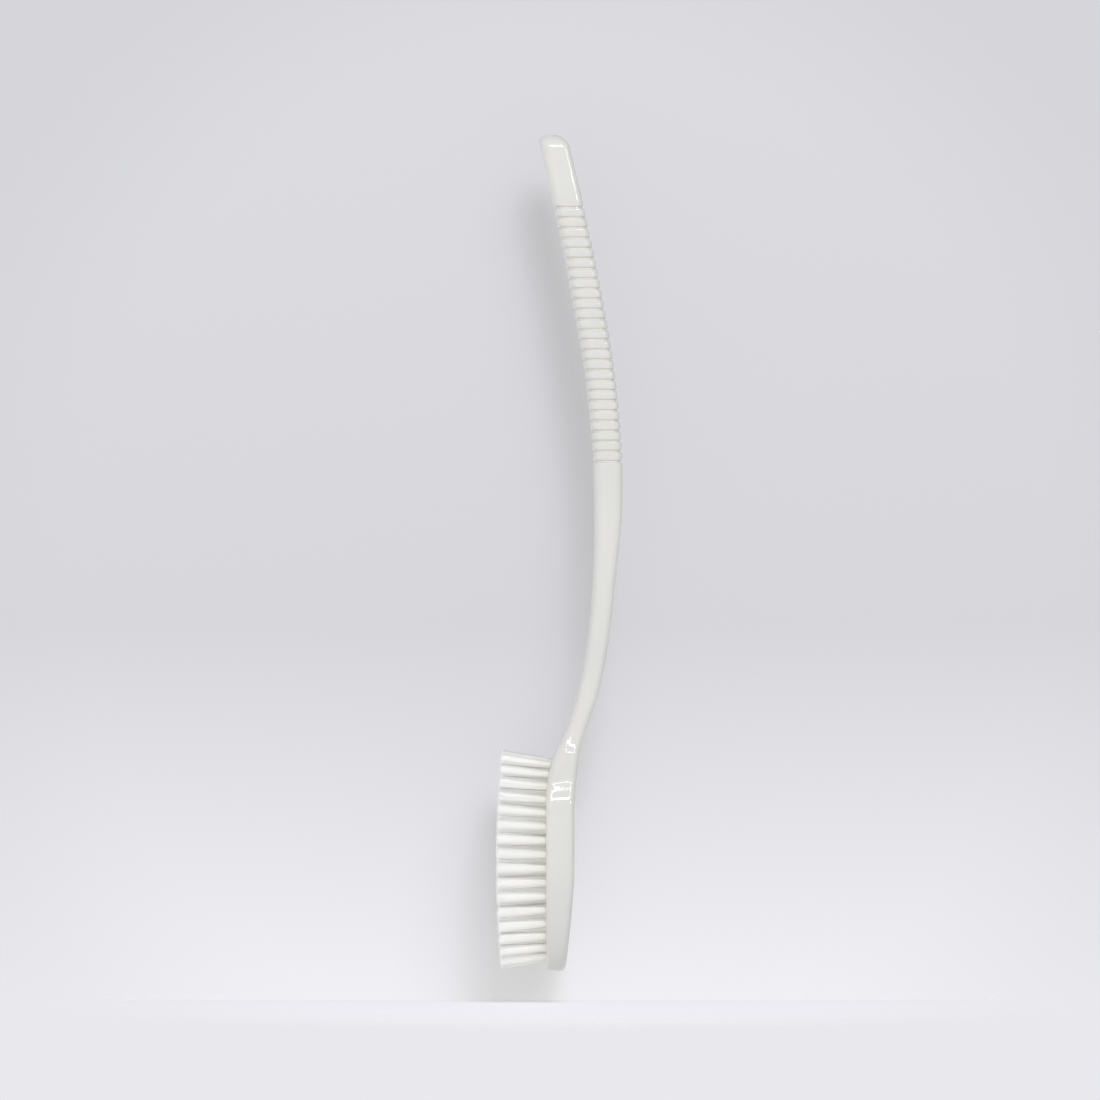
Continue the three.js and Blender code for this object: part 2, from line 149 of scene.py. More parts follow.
class ShaderGraph:
    """Places and joins the nodes of one shader tree."""

    def __init__(self, tree: bpy.types.NodeTree) -> None:
        """Starts from an empty tree.

        Args:
            tree: The node tree of a material, world or group.
        """
        self.tree = tree
        tree.nodes.clear()

    def add(self, kind: str, inputs: dict[str, object] | None = None, **settings: object) -> bpy.types.Node:
        """Places a node.

        Args:
            kind: The node's type.
            inputs: Values, or sockets to join, by the name of the input.
            **settings: The node's own settings.

        Returns:
            The node.
        """
        node = self.tree.nodes.new(kind)
        for name, value in settings.items():
            setattr(node, name, value)
        for name, value in (inputs or {}).items():
            self.feed(node.inputs[name], value)
        return node

    def feed(self, target: bpy.types.NodeSocket, value: object) -> None:
        """Joins a socket to an input, or sets the input to a plain value.

        Args:
            target: The input.
            value: A socket or a value.
        """
        if isinstance(value, bpy.types.NodeSocket):
            self.tree.links.new(value, target)
        else:
            target.default_value = value

    def blend(self, share: object, first: object, last: object) -> bpy.types.NodeSocket:
        """Mixes two colours.

        Args:
            share: How much of the last colour shows.
            first: A colour or its socket.
            last: A colour or its socket.

        Returns:
            The mixed colour's socket.
        """
        node = self.add("ShaderNodeMix", data_type="RGBA")
        for place, value in ((MIX_SHARE, share), (MIX_FIRST, first), (MIX_LAST, last)):
            self.feed(node.inputs[place], value)
        return node.outputs[MIX_RESULT]

    def spread(
        self, value: object, source: Pair = UNIT, target: Pair = UNIT, **settings: object
    ) -> bpy.types.NodeSocket:
        """Maps a value from one range to another, held at its ends.

        Args:
            value: The value's socket.
            source: The range that it comes in.
            target: The range that it goes out in.
            **settings: The node's own settings.

        Returns:
            The mapped value's socket.
        """
        limits = {"From Min": source[0], "From Max": source[1], "To Min": target[0], "To Max": target[1]}
        return self.add("ShaderNodeMapRange", {"Value": value, **limits}, **settings).outputs["Result"]

    def sum(self, first: object, last: object) -> bpy.types.NodeSocket:
        """Adds two values and gives the socket of their sum."""
        return self._worked_out("ShaderNodeMath", "ADD", first, last)

    def product(self, first: object, last: object) -> bpy.types.NodeSocket:
        """Multiplies two values and gives the socket of their product."""
        return self._worked_out("ShaderNodeMath", "MULTIPLY", first, last)

    def dot(self, first: object, last: object) -> bpy.types.NodeSocket:
        """Gives the socket of the dot product of two vectors."""
        return self._worked_out("ShaderNodeVectorMath", "DOT_PRODUCT", first, last)

    def length(self, vector: object) -> bpy.types.NodeSocket:
        """Gives the socket of a vector's length."""
        return self._worked_out("ShaderNodeVectorMath", "LENGTH", vector)

    def _worked_out(self, kind: str, operation: str, *values: object) -> bpy.types.NodeSocket:
        """Places a node that works one value out of others.

        Args:
            kind: The node's type.
            operation: What it does.
            *values: Values or sockets, in the order of its inputs.

        Returns:
            The socket of the value.
        """
        node = self.add(kind, operation=operation)
        for target, value in zip(node.inputs, values, strict=False):
            self.feed(target, value)
        return node.outputs["Value"]

    def height_in(self, place: bpy.types.NodeSocket) -> bpy.types.NodeSocket:
        """Gives the socket of the height in a place or a direction."""
        return self.add("ShaderNodeSeparateXYZ", {"Vector": place}).outputs["Z"]

    def place(self) -> bpy.types.NodeSocket:
        """Gives the socket of the place on the object, in metres."""
        return self.add("ShaderNodeTexCoord").outputs["Object"]

    def seen(self) -> bpy.types.NodeSocket:
        """Tells the rays that see a background from those that light.

        Returns:
            The socket that is 1 for the first and 0 for the others.
        """
        rays = self.add("ShaderNodeLightPath")
        first, second, third = (rays.outputs[name] for name in SEEN_RAYS)
        return self.sum(self.sum(first, second), third)

    def mark(self, mark: Mark) -> bpy.types.NodeSocket:
        """Gives the socket of a value kept on the vertices."""
        return self.add("ShaderNodeAttribute", attribute_name=mark.value).outputs["Fac"]

    def marked_place(self, mark: Mark) -> bpy.types.NodeSocket:
        """Gives the socket of a place kept on the vertices."""
        return self.add("ShaderNodeAttribute", attribute_name=mark.value).outputs["Vector"]


@dataclass(frozen=True)
class MaskGroup:
    """A shader group that turns a place on a surface into a mask, shared by several finishes."""

    name: str
    stretch: Triple
    detail: float
    limits: Pair

    def tree(self) -> bpy.types.NodeTree:
        """Builds the group once.

        Returns:
            The group, with inputs Vector and Scale and an output Mask.
        """
        made = bpy.data.node_groups.get(self.name)
        if made:
            return made
        made = bpy.data.node_groups.new(self.name, "ShaderNodeTree")
        made.interface.new_socket("Vector", in_out="INPUT", socket_type="NodeSocketVector")
        made.interface.new_socket("Scale", in_out="INPUT", socket_type="NodeSocketFloat")
        made.interface.new_socket("Mask", in_out="OUTPUT", socket_type="NodeSocketFloat")
        graph = ShaderGraph(made)
        entry = graph.add("NodeGroupInput")
        stretched = graph.add("ShaderNodeMapping", {"Vector": entry.outputs["Vector"], "Scale": self.stretch})
        noise = graph.add(
            "ShaderNodeTexNoise",
            {"Vector": stretched.outputs["Vector"], "Scale": entry.outputs["Scale"], "Detail": self.detail},
        )
        mask = graph.spread(noise.outputs["Fac"], self.limits)
        graph.add("NodeGroupOutput", {"Mask": mask})
        return made

    def mask(self, graph: ShaderGraph, place: bpy.types.NodeSocket, scale: float) -> bpy.types.NodeSocket:
        """Places the group in a material.

        Args:
            graph: The material's graph.
            place: The socket of the place on the surface.
            scale: How many cells of the pattern there are in a metre.

        Returns:
            The mask's socket.
        """
        node = graph.add("ShaderNodeGroup", node_tree=self.tree())
        graph.feed(node.inputs["Vector"], place)
        graph.feed(node.inputs["Scale"], scale)
        return node.outputs["Mask"]


CLOUDING = MaskGroup("surface_clouding", stretch=(1.0, 1.0, 1.0), detail=3.0, limits=(0.35, 0.65))
RUB_MARKS = MaskGroup("lengthwise_rub_marks", stretch=(1.0, 1.0, 0.05), detail=2.0, limits=(0.58, 0.72))


@dataclass(frozen=True)
class Finish:
    """A finish that builds its own material round one shader."""

    name: str

    def material(self) -> bpy.types.Material:
        """Builds the finish.

        Returns:
            The finish's material.
        """
        made = bpy.data.materials.new(self.name)
        made.use_nodes = True
        graph = ShaderGraph(made.node_tree)
        shader = graph.add("ShaderNodeBsdfPrincipled", self.shading(graph))
        graph.add("ShaderNodeOutputMaterial", {"Surface": shader.outputs["BSDF"]})
        return made

    def shading(self, graph: ShaderGraph) -> dict[str, object]:
        """Gives the shader's values and sockets by the names of its inputs; every finish has its own."""
        raise NotImplementedError


@dataclass(frozen=True)
class MouldedPlastic(Finish):
    """Glossy warm white plastic: faint flow clouding, rub marks, duller gloss in the grooves and a painted
    warm shade there.
    """

    name: str = "moulded_white_plastic"
    pale: Colour = (0.724, 0.723, 0.71, 1.0)
    warm: Colour = (0.76, 0.755, 0.727, 1.0)
    groove_shade_tint: Colour = (0.74, 0.725, 0.67, 1.0)
    flow_scale: float = 26.0
    gloss_scale: float = 90.0
    rub_scale: float = 700.0
    ripple_scale: float = 210.0
    ripple_detail: float = 1.0
    ripple_strength: float = 0.03
    ripple_height: float = 0.0001
    roughness: Pair = (0.05, 0.09)
    rub_roughness: float = 0.04
    groove_roughness: float = 0.14
    refraction: float = 1.5
    milkiness: float = 0.12
    milk_depth: float = 0.0012
    milk_tint: Triple = (1.0, 0.9, 0.7)
    skin: float = 0.35
    skin_roughness: float = 0.04

    def shading(self, graph: ShaderGraph) -> dict[str, object]:
        """Clouds, rubs and ripples the plastic, dulls it in the grooves and paints shade into them.

        Args:
            graph: The material's graph.

        Returns:
            The shader's values and sockets by the names of its inputs.
        """
        place = graph.place()
        groove = graph.mark(Mark.GROOVE)
        body = graph.blend(CLOUDING.mask(graph, place, self.flow_scale), self.pale, self.warm)
        gloss = graph.spread(CLOUDING.mask(graph, place, self.gloss_scale), target=self.roughness)
        rubbed = graph.product(RUB_MARKS.mask(graph, place, self.rub_scale), self.rub_roughness)
        dulled = graph.product(groove, self.groove_roughness)
        ripple = graph.add(
            "ShaderNodeTexNoise", {"Vector": place, "Scale": self.ripple_scale, "Detail": self.ripple_detail}
        )
        bump = graph.add(
            "ShaderNodeBump",
            {
                "Height": ripple.outputs["Fac"],
                "Strength": self.ripple_strength,
                "Distance": self.ripple_height,
            },
        )
        return {
            # Painted shade: the base colour turns a darker, warmer tint in the grooves, by their depth.
            "Base Color": graph.blend(groove, body, self.groove_shade_tint),
            "Roughness": graph.sum(graph.sum(gloss, rubbed), dulled),
            "Normal": bump.outputs["Normal"],
            "IOR": self.refraction,
            "Subsurface Weight": self.milkiness,
            "Subsurface Radius": self.milk_tint,
            "Subsurface Scale": self.milk_depth,
            "Coat Weight": self.skin,
            "Coat Roughness": self.skin_roughness,
        }


@dataclass(frozen=True)
class NylonStrand(Finish):
    """White nylon: streaked strand by strand, with a painted warm shade towards the root, and cool at the
    trimmed tip.
    """

    name: str = "white_nylon_strands"
    # Painted shade: the root colour is darker and warmer, standing in for shade between the tufts near the
    # face.
    root: Colour = (0.70, 0.69, 0.64, 1.0)
    middle: Colour = (0.77, 0.765, 0.75, 1.0)
    tip: Colour = (0.765, 0.765, 0.765, 1.0)
    darker: Colour = (0.70, 0.69, 0.655, 1.0)
    darkest_share: float = 0.35
    streak_scale: float = 13.0
    streak_strength: float = 0.35
    streak_depth: float = 0.00005
    cloud_scale: float = 300.0
    roughness: Pair = (0.42, 0.56)
    root_shade_fade: Pair = (0.15, 0.55)
    tip_fade: Pair = (0.6, 1.0)
    refraction: float = 1.53

    def shading(self, graph: ShaderGraph) -> dict[str, object]:
        """Streaks the nylon along its strands and fades a painted shade out from the root towards the tip.

        Args:
            graph: The material's graph.

        Returns:
            The shader's values and sockets by the names of its inputs.
        """
        along = graph.mark(Mark.ALONG)
        # Painted shade: darker warm colour near the root, fading out along the strands.
        lower = graph.blend(graph.spread(along, self.root_shade_fade), self.root, self.middle)
        whole = graph.blend(graph.spread(along, self.tip_fade), lower, self.tip)
        streaks = RUB_MARKS.mask(graph, graph.marked_place(Mark.BUNDLE), self.streak_scale)
        clouding = CLOUDING.mask(graph, graph.place(), self.cloud_scale)
        bump = graph.add(
            "ShaderNodeBump",
            {"Height": streaks, "Strength": self.streak_strength, "Distance": self.streak_depth},
            invert=True,
        )
        return {
            "Base Color": graph.blend(graph.product(streaks, self.darkest_share), whole, self.darker),
            "Roughness": graph.spread(clouding, target=self.roughness),
            "Normal": bump.outputs["Normal"],
            "IOR": self.refraction,
        }


@dataclass(frozen=True)
class PressedBrass(Finish):
    """Bright pressed strip: two tones of brass with rolling marks and slightly uneven gloss."""

    name: str = "pressed_brass_strip"
    bright: Colour = (0.78, 0.66, 0.40, 1.0)
    dull: Colour = (0.62, 0.50, 0.28, 1.0)
    tone_scale: float = 500.0
    rub_scale: float = 2500.0
    roughness: Pair = (0.25, 0.45)

    def shading(self, graph: ShaderGraph) -> dict[str, object]:
        """Mottles the brass and draws its rolling marks.

        Args:
            graph: The material's graph.

        Returns:
            The shader's values and sockets by the names of its inputs.
        """
        place = graph.place()
        tone = CLOUDING.mask(graph, place, self.tone_scale)
        rolled = RUB_MARKS.mask(graph, place, self.rub_scale)
        return {
            "Base Color": graph.blend(tone, self.bright, self.dull),
            "Roughness": graph.spread(rolled, target=self.roughness),
            "Metallic": 1.0,
        }


class StationCurve:
    """A smooth curve of one measure through stations up the handle, level where it starts."""

    def __init__(self, heights: list[float], values: list[float]) -> None:
        """Works out the slope at every station.

        Args:
            heights: The stations' heights, rising.
            values: The measure at each.
        """
        stations = list(zip(heights, values, strict=True))
        chords = [(top - low) / (above - below) for (below, low), (above, top) in pairwise(stations)]
        between = [(below + above) / 2 for below, above in pairwise(chords)]
        self.heights = heights
        self.values = values
        self.slopes = [0.0, *between, chords[-1]]

    def at(self, height: float) -> float:
        """Gives the measure at a height.

        Args:
            height: A height between the first and the last station.

        Returns:
            The measure there.
        """
        below = min(max(bisect_right(self.heights, height) - 1, 0), len(self.heights) - 2)
        span = self.heights[below + 1] - self.heights[below]
        share = (height - self.heights[below]) / span
        rise = self.values[below + 1] - self.values[below]
        start, stop = self.slopes[below] * span, self.slopes[below + 1] * span
        cubic = start + stop - 2 * rise
        square = 3 * rise - 2 * start - stop
        return self.values[below] + share * (start + share * (square + share * cubic))


@dataclass
class BodyProfile:
    """The moulding's sizes and its level section at any height."""

    length: float = 400.0
    head_half_width: float = 26.0
    head_widest: float = 52.0
    head_upper_reach: float = 58.0
    head_thickness: float = 13.5
    flat_back_top: float = 78.0
    face_fillet: float = 2.2
    back_fillet: float = 2.6
    toe_thickness: float = 9.2
    toe_taper_start: float = 46.0
    toe_taper_power: float = 1.3
    shoulder_rise: float = 40.0
    # Stations of the shoulder: the share of its rise, then how much of the head is left there in the
    # middle depth, the thickness and the width.
    shoulder: tuple[tuple[float, float, float, float], ...] = (
        (0.3, 0.91, 1.08, 0.74),
        (0.5, 0.78, 0.94, 0.47),
        (0.65, 0.63, 0.69, 0.25),
        (0.8, 0.37, 0.25, 0.1),
    )
    bow: float = 29.75
    neck_thickness: float = 9.9
    neck_half_width: float = 7.1
    grip_thickness: float = 14.7
    grip_half_width: float = 10.0
    # Stations of the handle: the share of its length, then of the bow and of the swell to the grip.
    handle: tuple[tuple[float, float, float], ...] = (
        (0.0, 0.51, 0.0),
        (0.04, 0.64, 0.07),
        (0.1, 0.77, 0.11),
        (0.17, 0.87, 0.11),
        (0.24, 0.93, 0.2),
        (0.31, 0.98, 0.5),
        (0.38, 1.0, 0.75),
        (0.47, 0.98, 0.85),
        (0.59, 0.87, 0.95),
        (0.73, 0.65, 1.0),
        (0.88, 0.36, 0.92),
        (1.0, 0.1, 0.84),
    )
    handle_front_fillet: float = 5.0
    handle_back_fillet: float = 3.2
    tip_front_round: float = 4.2
    tip_back_round: float = 6.5
    tip_side_round: float = 7.0
    hang_hole_from_tip: float = 12.0
    deepest_corner: float = 0.45
    widest_corner: float = 0.95
    head_side_crown: float = 0.5
    handle_side_crown: float = 0.25
    most_crown: float = 0.1
    slant_reach: float = 0.5
    corner_steps: int = 8
    side_steps: int = 5
    face_steps: int = 14

    def __post_init__(self) -> None:
        """Draws the smooth front, back and width of the shoulder and handle through their stations."""
        self.neck_height = self.flat_back_top + self.shoulder_rise
        self.hang_hole_height = self.length - self.hang_hole_from_tip
        rows = [self._flat_back(), *self._shoulder_rows(), *self._handle_rows()]
        heights = [height for height, _, _, _ in rows]
        self.handle_front = StationCurve(heights, [middle - thick / 2 for _, middle, thick, _ in rows])
        self.handle_back = StationCurve(heights, [middle + thick / 2 for _, middle, thick, _ in rows])
        self.handle_width = StationCurve(heights, [width for _, _, _, width in rows])

    def _flat_back(self) -> tuple[float, float, float, float]:
        """Station at the top of the head's flat back."""
        width = self.head_half_width_at(self.flat_back_top)
        return self.flat_back_top, self.head_thickness / 2, self.head_thickness, width

    def _shoulder_rows(self) -> list[tuple[float, float, float, float]]:
        """Works out the stations of the shoulder.

        Returns:
            Each one's height, middle depth, thickness and half width.
        """
        height, head_middle, head_thickness, head_width = self._flat_back()
        neck_middle = self.bow * self.handle[0][1]
        return [
            (
                lerp(height, self.neck_height, up),
                lerp(neck_middle, head_middle, middle),
                lerp(self.neck_thickness, head_thickness, thickness),
                lerp(self.neck_half_width, head_width, width),
            )
            for up, middle, thickness, width in self.shoulder
        ]

    def _handle_rows(self) -> list[tuple[float, float, float, float]]:
        """Works out the stations of the handle.

        Returns:
            Each one's height, middle depth, thickness and half width.
        """
        return [
            (
                lerp(self.neck_height, self.length, up),
                self.bow * bow,
                lerp(self.neck_thickness, self.grip_thickness, swell),
                lerp(self.neck_half_width, self.grip_half_width, swell),
            )
            for up, bow, swell in self.handle
        ]

    def to_frame(self) -> Matrix:
        """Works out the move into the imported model's frame.

        Returns:
            The move, from millimetres to metres with the origin in the middle of the hanging hole.
        """
        height = self.hang_hole_height
        depth = (self.front_at(height) + self.back_at(height)) / 2
        return Matrix.Scale(MILLIMETRE, 4) @ Matrix.Translation((-depth, 0.0, -height))

    def head_half_width_at(self, height: float) -> float:
        """Half width of the head's oval outline at a height."""
        reach = self.head_widest if height < self.head_widest else self.head_upper_reach
        return self.head_half_width * math.sqrt(max(0.0, 1 - ((height - self.head_widest) / reach) ** 2))

    def front_at(self, height: float) -> float:
        """Depth of the front at a height."""
        return 0.0 if height <= self.flat_back_top else self.handle_front.at(height)

    def back_at(self, height: float) -> float:
        """Depth of the back, which thins towards the toe.

        Args:
            height: The height to tell it at.

        Returns:
            The back's depth there.
        """
        if height > self.flat_back_top:
            return self.handle_back.at(height)
        taper = max(0.0, self.toe_taper_start - height) / self.toe_taper_start
        return lerp(self.head_thickness, self.toe_thickness, taper**self.toe_taper_power)

    def half_width_at(self, height: float) -> float:
        """Half width at a height."""
        on_handle = height > self.flat_back_top
        return self.handle_width.at(height) if on_handle else self.head_half_width_at(height)

    def slant_at(self, height: float) -> float:
        """How much wider a rounded edge is across a level section, where the outline slants inwards."""
        low, high = max(height - self.slant_reach, 0.0), min(height + self.slant_reach, self.length)
        return math.hypot(1.0, (self.half_width_at(high) - self.half_width_at(low)) / (high - low))

    @staticmethod
    def round_inset(radius: float, from_end: float) -> float:
        """How far a quarter round draws a wall in, this far from the wall's end."""
        beyond = max(0.0, radius - from_end)
        return radius - math.sqrt(max(0.0, radius**2 - beyond**2))

    def section(self, height: float, groove: float) -> list[Vector]:
        """Gives the points round the level section at one height, from the back and turning to +Y.

        Args:
            height: The section's height.
            groove: How far a groove draws it in all round.

        Returns:
            The depth and across of each point.
        """
        from_tip = self.length - height
        front_inset = self.round_inset(self.face_fillet, height)
        front_inset += self.round_inset(self.tip_front_round, from_tip)
        back_inset = self.round_inset(self.back_fillet, height)
        back_inset += self.round_inset(self.tip_back_round, from_tip)
        side_inset = self.round_inset(self.tip_side_round, from_tip)
        front = self.front_at(height) + front_inset + groove
        back = self.back_at(height) - back_inset - groove
        half_width = self.half_width_at(height) - side_inset - groove
        blend = smoothstep(self.flat_back_top, self.neck_height, height)
        front_fillet = lerp(self.face_fillet, self.handle_front_fillet, blend)
        back_fillet = lerp(self.back_fillet, self.handle_back_fillet, blend)
        crown = lerp(self.head_side_crown, self.handle_side_crown, blend)
        slant = self.slant_at(height)
        deepest = (back - front) * self.deepest_corner
        widest = half_width * self.widest_corner
        corners = (
            (back, -1, 1, back_fillet),
            (front, 1, 1, front_fillet),
            (front, 1, -1, front_fillet),
            (back, -1, -1, back_fillet),
        )
        arcs = []
        for quarter, (edge, inward, side, fillet) in enumerate(corners):
            deep = min(fillet, deepest)
            wide = min(fillet * slant, widest)
            middle = Vector((edge + inward * deep, side * (half_width - wide)))
            shares = [step / self.corner_steps for step in range(self.corner_steps + 1)]
            angles = [(quarter + share) * QUARTER_TURN for share in shares]
            arcs.append([middle + Vector((deep * math.cos(a), wide * math.sin(a))) for a in angles])
        points = self._joined(arcs)
        centre, reach = (front + back) / 2, (back - front) / 2
        for point in points:
            bend = ((point.x - centre) / reach) ** 2
            point.y *= 1 - min(crown / half_width, self.most_crown) * bend
        return points

    def _joined(self, arcs: list[list[Vector]]) -> list[Vector]:
        """Joins four rounded corners by their flats.

        Args:
            arcs: The points of each corner, in order.

        Returns:
            The points of the whole section.
        """
        flats = (self.side_steps, self.face_steps, self.side_steps, self.face_steps)
        points = []
        for arc, following, steps in zip(arcs, arcs[1:] + arcs[:1], flats, strict=True):
            points += arc
            points += [arc[-1].lerp(following[0], step / steps) for step in range(1, steps)]
        return points


@dataclass
class GripRibs:
    """Level grooves round the grip, with rounded ribs between them."""

    profile: BodyProfile
    plain_end: float = 35.0
    count: int = 26
    pitch: float = 4.85
    depth: float = 0.8
    floor_reach: float = 0.2
    shoulder_reach: float = 0.85
    crest_crown: float = 0.32
    rows: tuple[float, ...] = (0.2, 0.32, 0.44, 0.56, 0.68, 0.8, 0.95, 1.2, 1.6, 2.0)

    def __post_init__(self) -> None:
        """Works out where the grooves are."""
        self.highest = self.profile.length - self.plain_end
        self.lowest = self.highest - (self.count - 1) * self.pitch

    def levels(self) -> list[tuple[float, float]]:
        """Works out the sections of the ribbed length.

        Returns:
            Each section's height, and how far it is drawn in.
        """
        offsets = sorted({0.0, self.pitch / 2, *self.rows, *(-row for row in self.rows)})
        middles = [self.lowest + number * self.pitch for number in range(self.count)]
        return [(middle + offset, self.inset(abs(offset))) for middle in middles for offset in offsets][:-1]

    def inset(self, from_groove: float) -> float:
        """How far the surface is drawn in.

        Args:
            from_groove: How far it is from the middle of the nearest groove.

        Returns:
            The inset there, from the grooves' walls and the crowns of the ribs.
        """
        wall = 1 - smoothstep(self.floor_reach, self.shoulder_reach, from_groove)
        crest = (1 - from_groove / (self.pitch / 2)) ** 2
        return self.depth * wall + self.crest_crown * crest * (1 - wall)


@dataclass(frozen=True)
class TuftPlace:
    """Where one tuft leaves the face, told by the anchor in its hole."""

    across: float
    height: float

    @classmethod
    def of_anchor(cls, node: str, profile: BodyProfile) -> "TuftPlace":
        """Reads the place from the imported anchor.

        Args:
            node: The anchor's name.
            profile: The body's sizes.

        Returns:
            The place of its tuft.
        """
        low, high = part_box(node)
        middle = profile.to_frame().inverted() @ ((low + high) / 2)
        return cls(middle.y, middle.z)


@dataclass
class MouldedBody:
    """The one-piece handle and head, with its ribbed grip, hanging hole and tuft holes."""

    profile: BodyProfile
    ribs: GripRibs
    finish: MouldedPlastic
    places: list[TuftPlace]
    name: str = "moulded_body"
    node: str = "handle_body"
    toe_rows: int = 40
    toe_end_angle: float = 0.06
    upper_head_rows: int = 12
    shoulder_rows: int = 48
    shaft_rows: int = 60
    plain_end_rows: int = 16
    tip_rows: int = 14
    hole_radius: float = 1.95
    hole_depth: float = 7.6
    hole_sides: int = 20
    hang_hole_radius: float = 3.5
    hang_hole_rim: float = 0.9
    hang_hole_sides: int = 48
    rim_steps: int = 6
    rim_lift: float = 0.06
    slope_reach: float = 1.0
    crease_angle: float = math.radians(40)
    seam_gap: float = 1e-7
    spin_gap: float = 1e-4
    sliver: float = 1e-6

    def build(self) -> bpy.types.Object:
        """Builds, cuts and dresses the body.

        Returns:
            The finished piece, riding on the part.
        """
        body = piece_from(self._shell(), self.name)
        self._cut(body, piece_from(self._tuft_holes(), "tuft_hole_cutter"))
        self._cut(body, piece_from(self._hang_hole(), "hang_hole_cutter"))
        self._crease(body.data)
        body.data.materials.append(self.finish.material())
        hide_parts(self.node)
        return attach(body, BODY)

    def _levels(self) -> list[tuple[float, float]]:
        """Works out the sections from toe to tip.

        Returns:
            Each section's height, and how far a groove draws it in.
        """
        profile = self.profile
        angles = [self.toe_end_angle, *steps_up_to(self.toe_end_angle, QUARTER_TURN, self.toe_rows)]
        heights = [profile.head_widest * (1 - math.cos(angle)) for angle in angles]
        heights += steps_up_to(profile.head_widest, profile.flat_back_top, self.upper_head_rows)
        heights += steps_up_to(profile.flat_back_top, profile.neck_height, self.shoulder_rows)
        heights += steps_up_to(profile.neck_height, self.ribs.lowest - self.ribs.pitch, self.shaft_rows)
        levels = [(height, 0.0) for height in heights]
        levels += self.ribs.levels()
        round_start = profile.length - profile.tip_side_round
        ends = steps_up_to(levels[-1][0], round_start, self.plain_end_rows)
        turns = steps_up_to(0, QUARTER_TURN, self.tip_rows)
        ends += [round_start + profile.tip_side_round * math.sin(turn) for turn in turns]
        return levels + [(height, 0.0) for height in ends]

    def _shell(self) -> bmesh.types.BMesh:
        """Rolls a flat grid into the body's closed outer skin.

        Returns:
            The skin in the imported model's frame, with the depth of the grooves marked on it.
        """
        levels = self._levels()
        sections = [self.profile.section(height, groove) for height, groove in levels]
        columns, rows = len(sections[0]), len(levels) - 1
        bm = bmesh.new()
        mark = bm.verts.layers.float.new(Mark.GROOVE.value)
        unit_square = {"size": 0.5, "matrix": Matrix.Translation((0.5, 0.5, 0))}
        bmesh.ops.create_grid(bm, x_segments=columns, y_segments=rows, **unit_square)
        for vert in bm.verts:
            column, row = round(vert.co.x * columns) % columns, round(vert.co.y * rows)
            point, (height, groove) = sections[row][column], levels[row]
            vert.co = (point.x, point.y, height)
            vert[mark] = smoothstep(0.0, self.ribs.depth, groove)
        bmesh.ops.transform(bm, matrix=self.profile.to_frame(), verts=bm.verts)
        bmesh.ops.remove_doubles(bm, verts=bm.verts, dist=self.seam_gap)
        rims = [edge for edge in bm.edges if edge.is_boundary]
        ends = bmesh.ops.holes_fill(bm, edges=rims, sides=0)["faces"]
        bmesh.ops.poke(bm, faces=ends)
        bmesh.ops.recalc_face_normals(bm, faces=bm.faces)
        return bm

    def _tuft_holes(self) -> bmesh.types.BMesh:
        """Makes the cutters of the blind tuft holes, each from in front of the face.

        Returns:
            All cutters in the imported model's frame.
        """
        bm = bmesh.new()
        bm.verts.layers.float.new(Mark.GROOVE.value)
        length = self.hole_depth + self.hole_radius
        for place in self.places:
            face = self.profile.front_at(place.height)
            middle = (face + self.hole_depth - length / 2, place.across, place.height)
            placed = Matrix.Translation(middle) @ Matrix.Rotation(QUARTER_TURN, 4, "Y")
            bmesh.ops.create_cone(
                bm,
                cap_ends=True,
                segments=self.hole_sides,
                radius1=self.hole_radius,
                radius2=self.hole_radius,
                depth=length,
                matrix=self.profile.to_frame() @ placed,
            )
        return bm

    def _hang_hole_outline(self, height: float) -> list[Pair]:
        """Draws half the hanging hole's cutter, flared where it leaves the front and the back.

        Args:
            height: The hole's height.

        Returns:
            The depth and radius of each point, from front to back.
        """
        radius, flare = self.hang_hole_radius, self.hang_hole_rim
        outline = []
        for edge, inward in ((self.profile.front_at(height), 1), (self.profile.back_at(height), -1)):
            start = edge - inward * self.rim_lift
            outside = start - inward * flare
            rim = [(outside, 0.0), (outside, radius + flare)]
            for step in range(self.rim_steps + 1):
                turn = step / self.rim_steps * QUARTER_TURN
                depth = start + inward * flare * (1 - math.cos(turn))
                rim.append((depth, radius + flare * (1 - math.sin(turn))))
            outline += rim if inward > 0 else rim[::-1]
        return outline

    def _hang_hole(self) -> bmesh.types.BMesh:
        """Spins the cutter of the hanging hole and slopes it with the plain end.

        Returns:
            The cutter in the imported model's frame.
        """
        height = self.profile.hang_hole_height
        bm = bmesh.new()
        bm.verts.layers.float.new(Mark.GROOVE.value)
        verts = [bm.verts.new((depth, radius, 0.0)) for depth, radius in self._hang_hole_outline(height)]
        edges = [bm.edges.new(pair) for pair in pairwise(verts)]
        bmesh.ops.spin(
            bm,
            geom=verts + edges,
            axis=(1, 0, 0),
            cent=(0, 0, 0),
            angle=4 * QUARTER_TURN,
            steps=self.hang_hole_sides,
            use_merge=True,
        )
        bmesh.ops.remove_doubles(bm, verts=bm.verts, dist=self.spin_gap)
        above = self.profile.front_at(height + self.slope_reach)
        below = self.profile.front_at(height - self.slope_reach)
        slope = Matrix.Identity(4)
        slope[0][2] = (above - below) / (2 * self.slope_reach)
        placed = self.profile.to_frame() @ Matrix.Translation((0, 0, height)) @ slope
        bmesh.ops.transform(bm, matrix=placed, verts=bm.verts)
        bmesh.ops.recalc_face_normals(bm, faces=bm.faces)
        return bm

